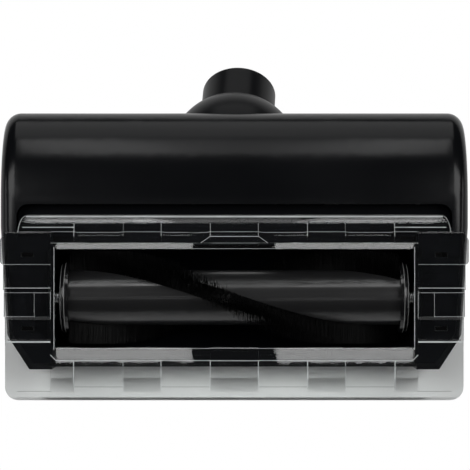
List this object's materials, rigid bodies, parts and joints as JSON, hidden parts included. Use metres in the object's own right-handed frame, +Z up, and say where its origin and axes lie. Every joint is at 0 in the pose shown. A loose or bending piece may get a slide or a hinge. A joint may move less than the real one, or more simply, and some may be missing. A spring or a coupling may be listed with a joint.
{
  "type": "vacuum brush head",
  "caption": "Powered vacuum brush head on its back: black housing, clear sole plate, helical brush roll, and a ball-jointed neck.",
  "frame": {"origin": "on the flat face of the hood that the head lies on, in line with the middle of the sole", "axes": "+X across the head along the brush roll, +Y towards the neck, +Z up from the hood; the sole faces up and leans back 25 degrees"},
  "size_m": [0.236, 0.1898, 0.083],
  "materials": {
    "black_housing": "satin",
    "black_inner": "satin",
    "clear_plastic": "gloss",
    "dark_core": "gloss",
    "bristles": "satin",
    "pale_nylon": "satin",
    "rubber": "matte",
    "motor_steel": "satin",
    "steel": "satin"
  },
  "bodies": {
    "housing": {"back_shell": "black_housing", "chassis": "black_inner", "chassis_screws": "steel", "air_duct": "black_inner", "ball_cup": "black_inner", "tilt_pins": "steel", "sole_plate": "clear_plastic", "bearing_left": "steel", "bearing_right": "steel", "motor_can": "motor_steel", "motor_end_bell": "pale_nylon", "motor_bracket": "motor_steel", "motor_screws": "steel", "motor_pad": "rubber", "drive_belt": "rubber"},
    "knuckle": {"knuckle_lower": "black_housing", "knuckle_upper": "black_housing", "swivel_pins": "steel"},
    "neck": {"neck_pipe": "black_housing"},
    "brush_roll": {"brush_core": "dark_core", "bristle_strip_1": "bristles", "bristle_strip_2": "bristles", "end_cap_left": "black_inner", "end_cap_right": "black_inner", "roll_shaft_left": "steel", "roll_shaft_right": "steel", "roll_pulley": "pale_nylon"},
    "motor_rotor": {"motor_shaft": "steel", "motor_pulley": "pale_nylon"}
  },
  "joints": [
    {"name": "brush_spin", "type": "hinge", "parent": "housing", "child": "brush_roll", "pos_m": [0, 0.00951, 0.03751], "axis": [1, 0, 0], "continuous": true},
    {"name": "motor_spin", "type": "hinge", "parent": "housing", "child": "motor_rotor", "pos_m": [0, 0.06863, 0.04797], "axis": [1, 0, 0], "continuous": true},
    {"name": "neck_tilt", "type": "hinge", "parent": "housing", "child": "knuckle", "pos_m": [0, 0.09088, 0.03574], "axis": [1, 0, 0], "range_deg": [-41, 39]},
    {"name": "neck_swivel", "type": "hinge", "parent": "knuckle", "child": "neck", "pos_m": [0, 0.09088, 0.03574], "axis": [0, 0.3256, 0.9455], "range_deg": [-9, 15]}
  ],
  "couplings": [
    {"joint": "motor_spin", "follows": "brush_spin", "ratio": 2}
  ]
}
